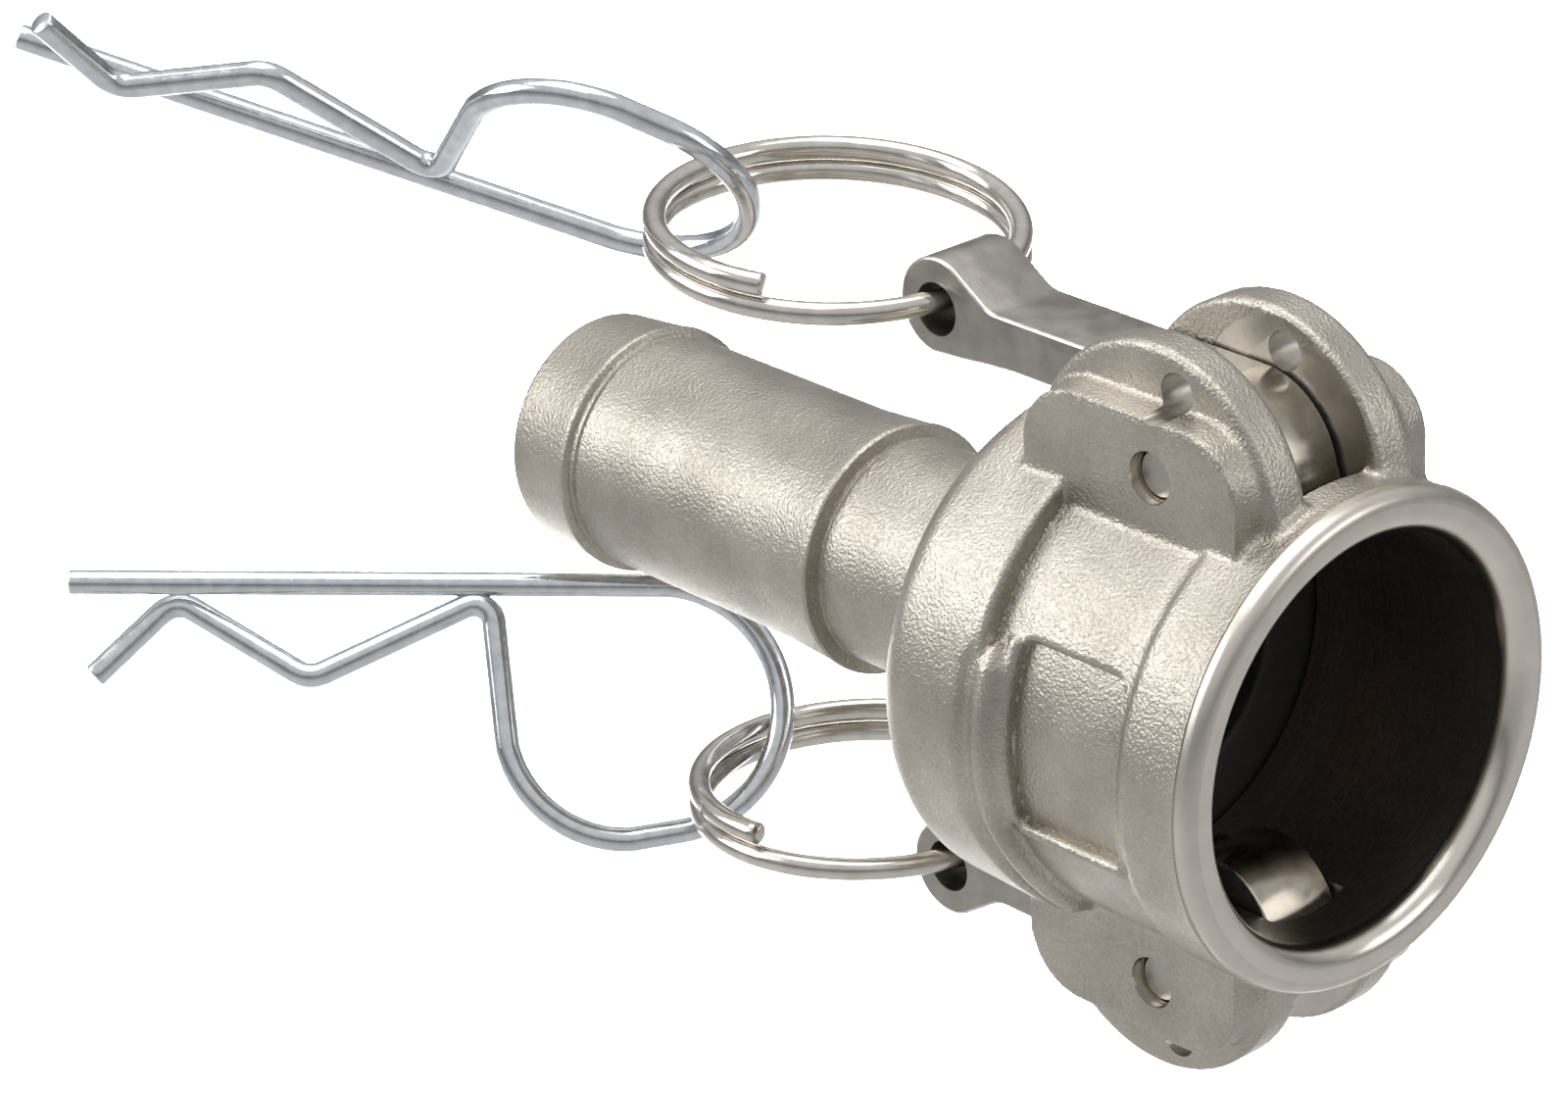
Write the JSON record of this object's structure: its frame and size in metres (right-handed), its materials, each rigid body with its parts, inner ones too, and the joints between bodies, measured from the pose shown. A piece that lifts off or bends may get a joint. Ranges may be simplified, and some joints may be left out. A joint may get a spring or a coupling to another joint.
{
  "type": "cam and groove hose coupler",
  "caption": "Cast stainless cam and groove coupler with a barbed hose shank, two hinged cam arms, pull rings and safety clips.",
  "frame": {"origin": "centre of the mouth face, on the bore's axis", "axes": "+X out of the mouth along the bore, +Z toward the upper cam arm, Y along the pivot pins"},
  "size_m": [0.1136, 0.0629, 0.0744],
  "materials": {
    "cast_stainless": "fine blasted investment casting with turned rim",
    "arm_stainless": "satin casting with polished cam and edges",
    "pin_stainless": "ground pin with cut ends",
    "ring_wire": "bright drawn stainless wire",
    "clip_wire": "bright zinc plated spring wire",
    "gasket": "matt moulded nitrile"
  },
  "bodies": {
    "coupler_body": {"body": "cast_stainless", "gasket": "gasket", "pivot_pin_upper": "pin_stainless", "pivot_pin_lower": "pin_stainless"},
    "arm_upper": {"cam_arm_upper": "arm_stainless"},
    "arm_lower": {"cam_arm_lower": "arm_stainless"},
    "ring_upper": {"split_ring_upper": "ring_wire"},
    "ring_lower": {"split_ring_lower": "ring_wire"},
    "clip_upper": {"safety_clip_upper": "clip_wire"},
    "clip_lower": {"safety_clip_lower": "clip_wire"}
  },
  "joints": [
    {"name": "arm_upper_pivot", "type": "hinge", "parent": "coupler_body", "child": "arm_upper", "pos_m": [-0.01293, 0, 0.02093], "axis": [0, 1, 0], "range_deg": [0, 130]},
    {"name": "arm_lower_pivot", "type": "hinge", "parent": "coupler_body", "child": "arm_lower", "pos_m": [-0.01293, 0, -0.02093], "axis": [0, -1, 0], "range_deg": [0, 130]},
    {"name": "ring_upper_swing", "type": "hinge", "parent": "arm_upper", "child": "ring_upper", "pos_m": [-0.0424, 0, 0.0242], "axis": [0, 1, 0], "range_deg": [-10, 60]},
    {"name": "ring_lower_swing", "type": "hinge", "parent": "arm_lower", "child": "ring_lower", "pos_m": [-0.0424, 0, -0.0242], "axis": [0, -1, 0], "range_deg": [0, 60]},
    {"name": "clip_upper_swing", "type": "hinge", "parent": "ring_upper", "child": "clip_upper", "pos_m": [-0.07005, -0.00695, 0.02694], "axis": [0.4513, -0.8918, -0.0322], "range_deg": [-25, 12]},
    {"name": "clip_lower_swing", "type": "hinge", "parent": "ring_lower", "child": "clip_lower", "pos_m": [-0.07073, -0.00124, -0.02416], "axis": [0.1888, -0.9812, 0.0412], "range_deg": [0, 25]}
  ]
}
